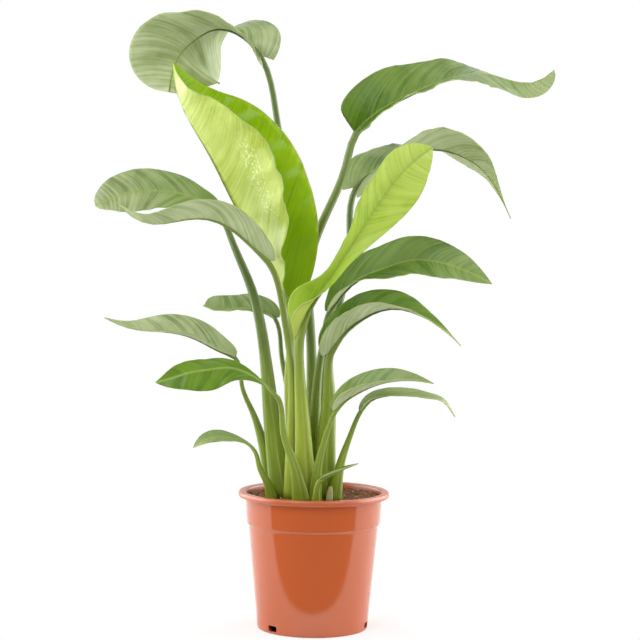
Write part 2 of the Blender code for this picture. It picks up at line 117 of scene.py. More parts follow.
LEAVES = (
    Leaf(
        "top_left",
        ((0.002, 0.028, 0), (-0.002, 0.038, 0.287), (-0.007, 0.046, 0.400), (-0.028, 0.054, 0.568),
         (-0.058, 0.054, 0.705)),
        (0.018, 0.012, 0.008), 0.010,
        ((-0.082, 0.050, 0.796), (-0.097, 0.050, 0.815), (-0.118, 0.048, 0.829), (-0.145, 0.046, 0.833),
         (-0.172, 0.044, 0.819), (-0.195, 0.041, 0.796), (-0.205, 0.038, 0.770), (-0.209, 0.035, 0.744)),
        0.072, 0.68, (87, -38, -88), (62, -8, 38), (0, 0, 0), 0.020, 0.20, 0.45,
    ),
    Leaf(
        "centre",
        ((-0.025, -0.002, 0), (-0.030, 0.000, 0.277), (-0.036, 0.002, 0.361)),
        (0.020, 0.014, 0.010), 0.010,
        ((-0.039, 0.004, 0.453), (-0.056, 0.005, 0.489), (-0.085, 0.005, 0.540), (-0.114, 0.005, 0.588),
         (-0.134, 0.005, 0.626), (-0.156, 0.005, 0.666), (-0.183, 0.005, 0.711), (-0.197, 0.005, 0.748),
         (-0.202, 0.005, 0.784)),
        0.110, 0.48, (45, 21, 26), (40, 62, 40), (0, 10, 0), 0, 0.55, 0.9, (14, 8),
    ),
    Leaf(
        "top_right",
        ((-0.022, 0.018, 0), (-0.028, 0.022, 0.316), (-0.028, 0.028, 0.414), (-0.018, 0.030, 0.484),
         (0.005, 0.036, 0.560), (0.039, 0.045, 0.644)),
        (0.018, 0.014, 0.010), 0.010,
        ((0.053, 0.050, 0.690), (0.072, 0.050, 0.711), (0.102, 0.055, 0.732), (0.146, 0.060, 0.754),
         (0.193, 0.065, 0.772), (0.237, 0.070, 0.777), (0.270, 0.075, 0.769), (0.306, 0.080, 0.767),
         (0.334, 0.090, 0.785)),
        0.052, 0.28, (-52, -21, -25), (42, 13, -65), (0, 0, 0), -0.013, 0.25, 0.5,
    ),
    Leaf(
        "upper_right_back",
        ((-0.007, 0.042, 0), (0.006, 0.058, 0.313), (0.030, 0.072, 0.440), (0.047, 0.080, 0.533)),
        (0.016, 0.012, 0.009), 0.010,
        ((0.055, 0.090, 0.614), (0.077, 0.095, 0.637), (0.114, 0.100, 0.659), (0.160, 0.110, 0.671),
         (0.204, 0.120, 0.663), (0.237, 0.125, 0.643), (0.261, 0.130, 0.611), (0.280, 0.130, 0.573)),
        0.052, 0.40, (-50, 20, 25), (20, 20, 15), (0, 0, 0), 0.02, 0.55, 2.2,
    ),
    Leaf(
        "upper_right",
        ((-0.011, -0.032, 0), (-0.016, -0.038, 0.280), (-0.021, -0.044, 0.350)),
        (0.020, 0.016, 0.012), 0.010,
        ((-0.021, -0.058, 0.409), (-0.017, -0.062, 0.430), (-0.008, -0.064, 0.452), (0.011, -0.065, 0.479),
         (0.032, -0.066, 0.511), (0.065, -0.068, 0.565), (0.097, -0.070, 0.613), (0.124, -0.072, 0.645),
         (0.154, -0.075, 0.668)),
        0.040, 0.76, (0, -112, -85), (75, 34, 20), (0, 0, 0), 0, 0.85, 0.7, (16, 6), 0.028,
    ),
    Leaf(
        "right",
        ((0.003, 0.005, 0), (0.000, 0.006, 0.291), (0.006, 0.007, 0.370), (0.012, 0.008, 0.410)),
        (0.016, 0.012, 0.008), 0.010,
        ((0.019, 0.010, 0.441), (0.028, 0.010, 0.455), (0.041, 0.010, 0.472), (0.065, 0.010, 0.490),
         (0.096, 0.005, 0.503), (0.132, 0.000, 0.514), (0.170, -0.010, 0.512), (0.211, -0.020, 0.499),
         (0.241, -0.025, 0.484)),
        0.036, 0.52, (-30, -48, -60), (55, 22, 10), (0, 0, 0), 0.01,
    ),
    Leaf(
        "middle_right",
        ((0.014, -0.013, 0), (0.017, -0.016, 0.278), (0.019, -0.019, 0.341)),
        (0.020, 0.018, 0.010), 0.010,
        ((0.021, -0.022, 0.385), (0.028, -0.025, 0.399), (0.042, -0.025, 0.417), (0.062, -0.030, 0.433),
         (0.082, -0.035, 0.444), (0.112, -0.040, 0.449), (0.145, -0.045, 0.439), (0.172, -0.050, 0.424),
         (0.198, -0.050, 0.400)),
        0.036, 0.34, (-15, -20, -40), (60, 40, 15), (0, 0, 0), 0.01, 0.55, 1.8,
    ),
    Leaf(
        "lower_right",
        ((0.002, -0.045, 0), (0.007, -0.050, 0.241), (0.017, -0.056, 0.280)),
        (0.012, 0.007, 0.005), 0.008,
        ((0.029, -0.060, 0.310), (0.036, -0.060, 0.319), (0.053, -0.065, 0.332), (0.079, -0.070, 0.345),
         (0.104, -0.075, 0.352), (0.135, -0.080, 0.354), (0.160, -0.085, 0.351)),
        0.024, 0.40, (-20, -25, -20), (55, 40, 20), (0, 0, 0), 0.005, 0.55, 0.9, (10, 4),
    ),
    Leaf(
        "lowest_right",
        ((0.028, -0.028, 0), (0.037, -0.026, 0.235), (0.050, -0.025, 0.274)),
        (0.014, 0.007, 0.005), 0.008,
        ((0.064, -0.025, 0.307), (0.076, -0.025, 0.321), (0.094, -0.030, 0.328), (0.127, -0.030, 0.330),
         (0.158, -0.035, 0.327), (0.176, -0.035, 0.322), (0.186, -0.035, 0.311), (0.193, -0.035, 0.301)),
        0.014, 0.40, (-20, -20, -10), (30, 20, 15), (0, 0, 0), 0.005, 0.55, 0.9, (10, 4),
    ),
    Leaf(
        "upper_left_back",
        ((-0.044, -0.010, 0), (-0.061, -0.005, 0.304), (-0.073, 0.000, 0.401), (-0.092, 0.008, 0.477),
         (-0.115, 0.015, 0.530)),
        (0.020, 0.016, 0.008), 0.010,
        ((-0.130, 0.020, 0.565), (-0.145, 0.020, 0.586), (-0.168, 0.020, 0.596), (-0.198, 0.015, 0.604),
         (-0.232, 0.010, 0.606), (-0.270, 0.000, 0.600), (-0.306, -0.010, 0.584)),
        0.034, 0.66, (50, 60, 50), (20, 10, 10), (0, 0, 0), 0.01, 0.55, 0.5,
    ),
    Leaf(
        "upper_left",
        ((-0.031, -0.020, 0), (-0.031, -0.028, 0.279), (-0.034, -0.040, 0.376), (-0.045, -0.050, 0.445)),
        (0.014, 0.010, 0.008), 0.010,
        ((-0.066, -0.060, 0.511), (-0.085, -0.065, 0.530), (-0.108, -0.070, 0.550), (-0.125, -0.075, 0.561),
         (-0.152, -0.080, 0.569), (-0.184, -0.080, 0.566), (-0.222, -0.080, 0.561), (-0.246, -0.080, 0.569),
         (-0.270, -0.080, 0.590)),
        0.032, 0.42, (-35, -20, -20), (50, 35, 20), (0, 0, 0), 0.01,
    ),
    Leaf(
        "left_back",
        ((-0.030, 0.042, 0), (-0.035, 0.046, 0.314), (-0.049, 0.051, 0.384)),
        (0.012, 0.008, 0.006), 0.008,
        ((-0.058, 0.055, 0.428), (-0.066, 0.058, 0.436), (-0.082, 0.062, 0.440), (-0.101, 0.068, 0.441),
         (-0.127, 0.075, 0.440), (-0.160, 0.085, 0.445)),
        0.025, 0.50, (30, 30, 30), (30, 28, 25), (0, 0, 0), 0.005, 0.45, 0.3, (10, 4),
    ),
    Leaf(
        "left",
        ((-0.050, 0.008, 0), (-0.069, 0.006, 0.247), (-0.088, 0.004, 0.303), (-0.102, 0.002, 0.338)),
        (0.022, 0.008, 0.006), 0.010,
        ((-0.112, 0.000, 0.376), (-0.130, 0.000, 0.384), (-0.158, -0.005, 0.398), (-0.185, -0.010, 0.408),
         (-0.215, -0.015, 0.412), (-0.255, -0.020, 0.416), (-0.291, -0.025, 0.431)),
        0.028, 0.40, (30, 30, 10), (40, 38, 20), (0, 0, 0), 0.0,
    ),
    Leaf(
        "lower_left",
        ((-0.017, -0.050, 0), (-0.029, -0.054, 0.240), (-0.043, -0.057, 0.282)),
        (0.016, 0.008, 0.006), 0.008,
        ((-0.050, -0.060, 0.326), (-0.060, -0.063, 0.338), (-0.074, -0.066, 0.350), (-0.092, -0.070, 0.361),
         (-0.115, -0.074, 0.368), (-0.142, -0.078, 0.366), (-0.172, -0.082, 0.361), (-0.193, -0.085, 0.354),
         (-0.215, -0.088, 0.348)),
        0.029, 0.62, (40, 48, 50), (-10, -20, -15), (0, 0, 0), 0.0, 1.5,
    ),
    Leaf(
        "lowest_left",
        ((-0.058, -0.022, 0), (-0.066, -0.024, 0.209), (-0.075, -0.026, 0.226)),
        (0.010, 0.006, 0.004), 0.006,
        ((-0.081, -0.026, 0.247), (-0.089, -0.028, 0.257), (-0.102, -0.030, 0.264), (-0.119, -0.033, 0.268),
         (-0.137, -0.036, 0.269), (-0.153, -0.040, 0.264), (-0.166, -0.044, 0.255)),
        0.012, 0.66, (50, 40, 30), (20, 15, 15), (0, 0, 0), 0.0, 1.1, 0.9, (8, 4),
    ),
    Leaf(
        "shoot",
        ((0.003, -0.060, 0), (0.004, -0.062, 0.201)),
        (0.008, 0.006, 0.005), 0.006,
        ((0.008, -0.064, 0.214), (0.019, -0.066, 0.221), (0.038, -0.070, 0.230), (0.060, -0.074, 0.240)),
        0.007, 0.40, (-10, -10, -10), (38, 34, 20), (0, 0, 0), 0, 0.55, 0.9, (8, 4),
    ),
)


# Colours, as linear light
MATURE_TOP = (0.050, 0.130, 0.0015)
MATURE_TOP_LIGHT = (0.140, 0.250, 0.012)
MATURE_UNDER = (0.190, 0.270, 0.075)
MATURE_UNDER_LIGHT = (0.500, 0.550, 0.320)
YOUNG_TOP = (0.180, 0.340, 0.0005)
YOUNG_TOP_LIGHT = (0.320, 0.500, 0.004)
YOUNG_UNDER = (0.300, 0.400, 0.025)
YOUNG_UNDER_LIGHT = (0.520, 0.620, 0.150)
MIDRIB = (0.300, 0.400, 0.090)
MARGIN = (0.400, 0.460, 0.170)
STALK_LOW = (0.175, 0.250, 0.012)
STALK_FRESH = (0.400, 0.490, 0.035)
STALK_HIGH = (0.080, 0.130, 0.026)
STALK_EDGE = (0.380, 0.240, 0.115)
STALK_SHADE = (0.110, 0.160, 0.012)
POT_ORANGE = (0.420, 0.080, 0.019)
POT_LIGHT = (0.460, 0.098, 0.026)

YOUNG = ("centre", "upper_right")

# How far each stalk takes the fresher colour
FRESH = {"centre": 1.0, "upper_right": 0.5, "upper_left": 0.6, "top_right": 0.4, "middle_right": 0.15}

# How far each upper face is painted pale towards the underside colour, as painted sheen, at its base, middle and tip
PAINTED_SHEEN = {
    "top_left": (0.9, 0.1, 0.0),
    "top_right": (0.0, 0.25, 0.6),
    "right": (0.0, 0.1, 0.35),
    "middle_right": (0.0, 0.05, 0.2),
    "upper_left_back": (0.1, 0.45, 0.9),
    "left_back": (0.4, 0.5, 0.5),
    "left": (0.5, 0.8, 0.8),
    "lowest_left": (0.3, 0.4, 0.5),
    "lower_right": (0.2, 0.3, 0.5),
    "lowest_right": (0.5, 0.6, 0.7),
    "upper_right_back": (0.5, 0.3, 0.2),
    "upper_right": (0.3, 0.45, 0.8),
}

# Light that reaches the plant from the room, all round and from the viewer's side
ROOM_LIGHT = 0.27
FRONT_LIGHT = 0.12


def smooth_line(points, distances):
    """Points and unit tangents of a natural cubic spline, at distances counted along its chords."""
    points = np.array(points, float)
    steps = np.linalg.norm(np.diff(points, axis=0), axis=1)
    along = np.concatenate([[0.0], np.cumsum(steps)])
    count = len(points)
    system = np.eye(count)
    right = np.zeros((count, 3))
    slopes = np.diff(points, axis=0) / steps[:, None]
    for i in range(1, count - 1):
        system[i, i - 1 : i + 2] = (steps[i - 1], 2 * (steps[i - 1] + steps[i]), steps[i])
        right[i] = 6 * (slopes[i] - slopes[i - 1])
    bend = np.linalg.solve(system, right)
    at = np.asarray(distances)
    k = np.clip(np.searchsorted(along, at, side="right") - 1, 0, count - 2)
    h = steps[k][:, None]
    a = (along[k + 1][:, None] - at[:, None]) / h
    b = 1 - a
    place = a * points[k] + b * points[k + 1]
    place += ((a**3 - a) * bend[k] + (b**3 - b) * bend[k + 1]) * h**2 / 6
    slope = slopes[k] + ((3 * b**2 - 1) * bend[k + 1] - (3 * a**2 - 1) * bend[k]) * h / 6
    return place, slope / np.linalg.norm(slope, axis=1)[:, None]


def chord_length(points):
    return float(np.linalg.norm(np.diff(np.array(points, float), axis=0), axis=1).sum())


def centre_line(leaf):
    """The leaf's whole line from foot to tip, and the distance at which its neck lies."""
    stalk = [(x, y, z or SOIL_TOP + GAP) for x, y, z in leaf.stalk]
    return stalk + list(leaf.rib), chord_length(stalk + [leaf.rib[0]])


def through(triple, share):
    """The smooth value at this share of the way through base, middle and tip values."""
    base, middle, tip = triple
    start = (1 - share) * (1 - 2 * share)
    end = share * (2 * share - 1)
    return base * start + middle * (1 - start - end) + tip * end


def frames(tangents, rolls):
    """Side and upper directions along a line, from its heading on the level and its roll in radians."""
    heading = tangents.sum(axis=0)
    level = np.array([heading[0], heading[1], 0.0])
    side = np.cross(level / np.linalg.norm(level), [0.0, 0.0, 1.0])
    side = side - (tangents @ side)[:, None] * tangents
    side /= np.linalg.norm(side, axis=1)[:, None]
    upper = np.cross(side, tangents)
    turn, lift = np.cos(rolls)[:, None], np.sin(rolls)[:, None]
    return side * turn + upper * lift, upper * turn - side * lift


def half_width_at(leaf, share):
    """Distance from midrib to margin: rounded at the base, pointed at the tip."""
    power = math.log(0.5) / math.log(leaf.widest)
    swell = np.sin(np.pi * np.clip(share, 0.0, 1.0) ** power)
    blunt = np.where(share < leaf.widest, leaf.base_power, leaf.tip_power)
    least = BLADE_START + (BLADE_TIP - BLADE_START) * share
    ear = leaf.ear * np.exp(-(((share - EAR_PLACE) / EAR_SPREAD) ** 2))
    return np.sqrt((leaf.half_width * np.clip(swell, 0.0, 1.0) ** blunt) ** 2 + least**2) + ear


def vein_at(share, out):
    """The share of the midrib at which a point's vein leaves it, for out from 0 at the rib to 1 at the margin."""
    sweep = VEIN_SWEEP * out**1.3
    return (share - sweep) / (1 - sweep)


def undulation(leaf, distance, vein, width, out, sign):
    """Slow waves and fine corrugation of a blade, growing towards its margin."""
    seed = float(sum(map(ord, leaf.name)))
    slow = np.array([noise.noise(Vector((d / 0.045, s * 3.1, seed))) for d, s in zip(distance, sign)])
    ripple = np.array([noise.noise(Vector((d / 0.014, s * 5.3, seed))) for d, s in zip(distance, sign)])
    fine = np.sin(2 * math.pi * vein / 0.009 + 2.0 * np.sin(vein / 0.013))
    broad = np.sin(2 * math.pi * vein / 0.027 + seed + 1.5 * np.sin(vein / 0.021))
    body = np.clip(out * 4, 0.0, 1.0) * np.clip(width / 0.05, 0.0, 1.0)
    margin = width * out**2 * (0.200 * slow + 0.050 * ripple)
    return margin + body * (0.00016 * fine + 0.00060 * broad)


def blade_points(leaf, shares, across):
    """Points of the blade's middle surface, and what the finish needs at each one."""
    line, neck = centre_line(leaf)
    length = chord_length(line) - neck
    centre, tangent = smooth_line(line, neck + shares * length)
    side, upper = frames(tangent, np.radians(through(leaf.roll, shares)))
    width = half_width_at(leaf, shares)
    fold = np.radians(through(leaf.fold, shares))
    curl = np.radians(through(leaf.curl, shares))
    curl = np.where(np.abs(curl) < 1e-3, 1e-3, curl)
    out = np.abs(across)
    over = width * (np.sin(fold + curl * out) - np.sin(fold)) / curl
    rise = width * (np.cos(fold) - np.cos(fold + curl * out)) / curl
    sign = np.sign(across)
    vein = vein_at(shares, out) * length
    lift = undulation(leaf, shares * length, vein, width, out, sign)
    face_over = -sign * np.sin(fold + curl * out) * lift
    face_rise = np.cos(fold + curl * out) * lift
    back = leaf.lobe * out**2 * (1 - shares) ** 3 * (1 - BLADE_START / width)
    places = (
        centre
        + (sign * over + face_over)[:, None] * side
        + (rise + face_rise)[:, None] * upper
        - back[:, None] * tangent
    )
    # Share of painted sheen, which pales the face towards a paler colour
    pale = np.clip(through(PAINTED_SHEEN.get(leaf.name, (0.0, 0.0, 0.0)), shares), 0.0, 1.0)
    grain = np.clip(width / FULL_GRAIN_WIDTH, 0.0, 1.0) ** 2
    kept = {"along": shares * length, "out": out * width, "edge": out}
    return places, {**kept, "vein": vein, "pale": pale, "grain": grain}


class Wire:
    """A shader value or colour, with arithmetic that adds the nodes it needs."""

    def __init__(self, shading, socket):
        self.shading = shading
        self.socket = socket

    def _maths(self, operation, first, second):
        if self.socket.type == "VALUE":
            return self.shading.node("ShaderNodeMath", {"operation": operation}, {0: first, 1: second})
        return self.shading.node("ShaderNodeVectorMath", {"operation": operation}, {0: first, 1: second})

    def __add__(self, other):
        return self._maths("ADD", self, other)

    def __radd__(self, other):
        return self._maths("ADD", other, self)

    def __sub__(self, other):
        return self._maths("SUBTRACT", self, other)

    def __rsub__(self, other):
        return self._maths("SUBTRACT", other, self)

    def __mul__(self, other):
        return self._maths("MULTIPLY", self, other)

    def __rmul__(self, other):
        return self._maths("MULTIPLY", other, self)

    def __truediv__(self, other):
        return self._maths("DIVIDE", self, other)

    def __pow__(self, other):
        return self._maths("POWER", self, other)

    def sine(self):
        return self._maths("SINE", self, 0.0)

    def size(self):
        return self._maths("ABSOLUTE", self, 0.0)

    def part(self, axis):
        return self.shading.node("ShaderNodeSeparateXYZ", {}, {"Vector": self}, output=axis)


class Shading:
    """A shader node tree, whose nodes are added by kind."""

    def __init__(self, tree):
        self.tree = tree

    def node(self, kind, settings, inputs, output=0):
        made = self.tree.nodes.new(kind)
        for name, value in settings.items():
            if name == "stops":
                self._set_stops(made.color_ramp, value)
            else:
                setattr(made, name, value)
        for name, value in inputs.items():
            if isinstance(value, Wire):
                self.tree.links.new(value.socket, made.inputs[name])
            elif isinstance(value, (tuple, list)) and made.inputs[name].type == "RGBA":
                made.inputs[name].default_value = (*value, 1.0)
            else:
                made.inputs[name].default_value = value
        return Wire(self, made.outputs[output])

    def _set_stops(self, ramp, stops):
        while len(ramp.elements) < len(stops):
            ramp.elements.new(1.0)
        for element, (place, colour) in zip(ramp.elements, stops):
            element.position = place
            element.color = (*colour, 1.0)

    def place(self):
        return self.node("ShaderNodeTexCoord", {}, {}, output="Object")

    def attribute(self, name):
        return self.node("ShaderNodeAttribute", {"attribute_name": name}, {}, output="Fac")

    def noise(self, vector, scale, detail=3.0, rough=0.5):
        inputs = {"Vector": vector, "Scale": scale, "Detail": detail, "Roughness": rough}
        return self.node("ShaderNodeTexNoise", {}, inputs, output=0)

    def vector(self, x, y, z):
        return self.node("ShaderNodeCombineXYZ", {}, {"X": x, "Y": y, "Z": z})

    def between(self, value, low, high, start=0.0, end=1.0):
        """A smooth step of the value from start at low to end at high."""
        inputs = {"Value": value, "From Min": low, "From Max": high, "To Min": start, "To Max": end}
        return self.node("ShaderNodeMapRange", {"interpolation_type": "SMOOTHSTEP"}, inputs)

    def blend(self, share, first, second):
        return self.node(
            "ShaderNodeMix", {"data_type": "RGBA"}, {0: share, 6: first, 7: second}, output=2
        )

    def light_path(self, output):
        return self.node("ShaderNodeLightPath", {}, {}, output=output)


class Finish(Shading):
    """One Principled material."""

    def __init__(self, name, **constants):
        self.material = bpy.data.materials.new(name)
        self.material.use_nodes = True
        super().__init__(self.material.node_tree)
        self.shader = self.tree.nodes["Principled BSDF"]
        for socket, value in constants.items():
            self.shader.inputs[socket.replace("_", " ")].default_value = value

    def put(self, socket, wire):
        self.tree.links.new(wire.socket, self.shader.inputs[socket])

    def bump(self, height, distance, strength=1.0):
        inputs = {"Height": height, "Distance": distance, "Strength": strength}
        self.put("Normal", self.node("ShaderNodeBump", {}, inputs))


def leaf_finish(name, deep, light, pale, rough, gloss, veins, spread, glints=False):
    """Waxy leaf tissue: veins that lean to the tip, slow colour drift, painted sheen, optional painted glints, pale
    midrib and margin.
    """
    finish = Finish(name, Roughness=rough, Specular_IOR_Level=gloss)
    place = finish.place()
    along = finish.attribute("along")
    out = finish.attribute("out")
    edge = finish.attribute("edge")
    vein = finish.attribute("vein")
    fine = finish.noise(finish.vector(vein * 280.0, out * 14.0, along * 3.0), 1.0, 2.0)
    strand = finish.noise(finish.vector(vein * 95.0, out * 5.0, 0.0), 1.0, 2.0)
    drift = finish.noise(place, 22.0, 3.0)
    grain = finish.attribute("grain")
    mixed = (fine * 0.65 + strand * 0.35 + drift * 0.6 - 0.79) * grain
    tone = finish.between(mixed, -spread, spread)
    colour = finish.blend(tone, deep, light)
    # Painted sheen: the face pales towards the given pale colour by its pale share, more on the lighter tones
    colour = finish.blend(finish.attribute("pale") * (tone * 0.9 + 0.35), colour, pale)
    if glints:
        spot = finish.between(finish.noise(place, 260.0, 2.0), 0.54, 0.62)
        row = finish.between((out - 0.070).size(), 0.004, 0.024, 1.0, 0.0)
        reach = finish.between((along - 0.17).size(), 0.03, 0.08, 1.0, 0.0)
        colour = finish.blend(spot * row * reach * 0.55, colour, (0.800, 0.860, 0.520))
    rib = finish.between(out, 0.0008, 0.0026, 1.0, 0.0)
    colour = finish.blend(rib * 0.6, colour, MIDRIB)
    rim = finish.between(edge, 0.975, 0.995)
    colour = finish.blend(rim * 0.6, colour, MARGIN)
    finish.put("Base Color", colour)
    finish.put("Roughness", finish.between(drift + fine * 0.3, 0.45, 0.85, rough - 0.07, rough + 0.09))
    finish.bump((fine * 0.5 + strand) * grain, 0.0006, veins)
    return finish.material


def edge_finish():
    finish = Finish("leaf_margin", Roughness=0.45)
    drift = finish.noise(finish.place(), 60.0)
    finish.put("Base Color", finish.blend(drift, MARGIN, MIDRIB))
    return finish.material


def stalk_finish():
    """Satin stalk: yellow-green and streaked at the foot, darker and greyer above."""
    finish = Finish("stalk_tissue", Roughness=0.36)
    place = finish.place()
    along = finish.attribute("along")
    turn = finish.attribute("turn")
    around = finish.vector((turn * 6.2832).sine() * 2.2, (turn * 6.2832 + 1.5708).sine() * 2.2, along * 5.0)
    streak = finish.noise(around, 2.6, 3.0, 0.6)
    fine = finish.noise(finish.vector(turn * 46.0, along * 9.0, 1.7), 1.0, 2.0)
    height = place.part("Z")
    high = finish.between(height + streak * 0.12, 0.29, 0.54)
    fresh = finish.attribute("fresh")
    colour = finish.blend(fresh, STALK_LOW, STALK_FRESH)
    colour = finish.blend(high * (1.0 - fresh * 0.45), colour, STALK_HIGH)
    pale = finish.between(streak, 0.50, 0.72) * 0.55
    colour = finish.blend(pale, colour, (0.420, 0.500, 0.100))
    low = finish.between(height, 0.22, 0.42, 1.0, 0.0)
    edge = finish.between((turn + streak * 0.10 - 0.47).size(), 0.012, 0.045, 1.0, 0.0)
    colour = finish.blend(edge * low * finish.between(streak, 0.40, 0.58) * (0.25 + fresh * 0.5), colour, STALK_EDGE)
    shade = finish.between((turn + streak * 0.10 - 0.40).size(), 0.02, 0.07, 1.0, 0.0)
    colour = finish.blend(shade * low * 0.45, colour, STALK_SHADE)
    finish.put("Base Color", colour)
    finish.put("Roughness", finish.between(fine, 0.3, 0.7, 0.30, 0.46))
    finish.bump(fine + streak * 0.6, 0.0004, 0.5)
    return finish.material


def dry_finish():
    finish = Finish("dry_sheath", Roughness=0.8)
    place = finish.place()
    streak = finish.noise(finish.vector(place.part("X") * 900.0, place.part("Y") * 900.0, place.part("Z") * 60.0), 1.0)
    finish.put("Base Color", finish.blend(streak, (0.230, 0.210, 0.070), (0.480, 0.470, 0.220)))
    finish.bump(streak, 0.0005, 0.6)
    return finish.material


def pot_finish():
    """Glossy moulded plastic with a faint drift of colour and small scuffs."""
    finish = Finish("orange_plastic", Specular_IOR_Level=0.85)
    place = finish.place()
    drift = finish.noise(place, 9.0, 2.0)
    speck = finish.noise(place, 900.0, 2.0)
    scuff = finish.noise(finish.vector(place.part("X") * 30.0, place.part("Y") * 30.0, place.part("Z") * 260.0), 1.0, 4.0)
    finish.put("Base Color", finish.blend(drift * 0.7 + speck * 0.3, POT_ORANGE, POT_LIGHT))
    lip = finish.between(place.part("Z"), LIP_BOTTOM - 0.001, LIP_BOTTOM + 0.001, 0.0, 0.26)
    finish.put("Roughness", finish.between(scuff, 0.45, 0.8, 0.07, 0.13) + lip)
    finish.bump(speck + drift * 4.0, 0.0002, 0.12)
    return finish.material


def soil_finish(name, dark, light):
    """Coarse brown potting mix, broken into dark and light fibres."""
    finish = Finish(name, Roughness=0.92)
    place = finish.place()
    crumb = finish.noise(place, 260.0, 5.0, 0.7)
    fibre = finish.noise(finish.vector(place.part("X") * 700.0, place.part("Y") * 240.0, place.part("Z") * 300.0), 1.0, 3.0)
    tone = finish.between(crumb * 0.6 + fibre * 0.5, 0.35, 0.75)
    finish.put("Base Color", finish.blend(tone, dark, light))
    finish.bump(crumb + fibre, 0.0012, 0.9)
    return finish.material


def hide_seams(mesh):
    mesh.shade_smooth()


def add_piece(name, bm, materials, nodes=()):
    """Links the mesh as a piece that rides on the plant's one body and stands for its frame nodes."""
    mesh = bpy.data.meshes.new(name)
    bm.to_mesh(mesh)
    bm.free()
    for material in materials:
        mesh.materials.append(material)
    mesh.shade_smooth()
    piece = bpy.data.objects.new(name, mesh)
    bpy.context.scene.collection.objects.link(piece)
    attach(piece, "root")
    if nodes:
        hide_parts(*nodes)
    return piece


def check_fit(piece, node):
    """Raises an error where a piece has strayed from its frame node."""
    low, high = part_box(node)
    corners = [vert.co for vert in piece.data.vertices]
    for axis in range(3):
        least = min(corner[axis] for corner in corners)
        most = max(corner[axis] for corner in corners)
        if abs(least - low[axis]) > FRAME_FIT or abs(most - high[axis]) > FRAME_FIT:
            raise RuntimeError(f"{piece.name} strays from {node}: {least:.4f} {most:.4f} {low[axis]:.4f} {high[axis]:.4f}")


def swept(places, tangents, widths, depths, sides, distances, fresh=0.0):
    """Bridged rings along a line, with each point's distance, turn and freshness kept for the finish."""
    bm = bmesh.new()
    along_layer = bm.verts.layers.float.new("along")
    turn_layer = bm.verts.layers.float.new("turn")
    fresh_layer = bm.verts.layers.float.new("fresh")
    rings = []
    for k, (place, tangent, width, depth) in enumerate(zip(places, tangents, widths, depths)):
        along = Vector(tangent)
        across = Vector((1, 0, 0))
        across = (across - across.dot(along) * along).normalized()
        deep = along.cross(across)
        made = bmesh.ops.create_circle(bm, segments=sides, radius=1.0)["verts"]
        for vert in made:
            angle = math.atan2(vert.co.y, vert.co.x)
            vert[along_layer] = distances[k]
            vert[fresh_layer] = fresh
            vert[turn_layer] = abs(angle) / math.pi
            vert.co = (
                Vector(place)
                + across * (width / 2 * math.cos(angle))
                + deep * (depth / 2 * math.sin(angle))
            )
        rings.append({edge for vert in made for edge in vert.link_edges})
    for low, high in zip(rings, rings[1:]):
        bmesh.ops.bridge_loops(bm, edges=list(low | high))
    bmesh.ops.holes_fill(bm, edges=list(rings[0] | rings[-1]))
    bmesh.ops.recalc_face_normals(bm, faces=bm.faces)
    return bm


def stalk_mesh(leaf, sides, steps):
    """The stalk from its foot to its neck, running on as the midrib under the blade."""
    line, neck = centre_line(leaf)
    length = chord_length(line)
    rib_steps = steps // 2
    distances = np.concatenate([
        np.linspace(0.0, neck, steps), np.linspace(neck, length, rib_steps + 1)[1:]
    ])
    places, tangents = smooth_line(line, distances)
    tangents[0] = (0.0, 0.0, 1.0)
    shares = np.clip(distances / neck, 0.0, 1.0)
    widths = through(leaf.stalk_widths, shares)
    flatness = np.clip((ROUND_SHARE - shares) / (ROUND_SHARE - FLAT_SHARE), 0.0, 1.0)
    flare = 1.0 + SHEATH_FLARE * np.clip(1.0 - distances / SHEATH_HEIGHT, 0.0, 1.0)
    depths = (widths + (leaf.foot_depth - widths) * flatness) * flare
    widths = widths * flare
    beyond = np.clip((distances - neck) / (length - neck), 0.0, 1.0)
    taper = (1.0 - beyond) ** 1.5 * 0.55 + 0.45 * np.clip(1.0 - beyond * 8, 0.0, 1.0)
    taper = np.where(distances > neck, taper, 1.0)
    widths = np.maximum(widths * taper, 0.0008)
    depths = np.maximum(depths * taper, 0.0008)
    rib_shares = beyond
    rolls = np.radians(through(leaf.roll, rib_shares))
    _, upper = frames(tangents, rolls)
    sink = np.where(distances > neck, widths * 0.42 * np.clip(beyond * 8, 0.0, 1.0), 0.0)
    places = places - upper * sink[:, None]
    return swept(places, tangents, widths, depths, sides, distances, FRESH.get(leaf.name, 0.0))


def blade_mesh(leaf, along, across):
    """A blade: a fine grid bent to the midrib, fold and curl, facing up."""
    bm = bmesh.new()
    bmesh.ops.create_grid(bm, x_segments=along, y_segments=across, size=1.0)
    flat = np.array([vert.co[:] for vert in bm.verts])
    shares = (flat[:, 0] + 1) / 2
    shares = shares - 0.06 * np.sin(2 * math.pi * shares)
    places, kept = blade_points(leaf, shares, flat[:, 1])
    for name, values in kept.items():
        layer = bm.verts.layers.float.new(name)
        for vert, value in zip(bm.verts, values):
            vert[layer] = value
    for vert, place in zip(bm.verts, places):
        vert.co = place
    bmesh.ops.reverse_faces(bm, faces=bm.faces)
    return bm


def spun(profile, steps):
    """A closed body from a profile of (radius, height) that starts and ends on the axis."""
    bm = bmesh.new()
    verts = [bm.verts.new((r, 0.0, z)) for r, z in profile]
    edges = [bm.edges.new(pair) for pair in zip(verts, verts[1:])]
    bmesh.ops.spin(
        bm, geom=verts + edges, cent=(0, 0, 0), axis=(0, 0, 1), angle=2 * math.pi,
        steps=steps, use_merge=True,
    )
    bmesh.ops.remove_doubles(bm, verts=bm.verts, dist=1e-5)
    bmesh.ops.recalc_face_normals(bm, faces=bm.faces)
    return bm


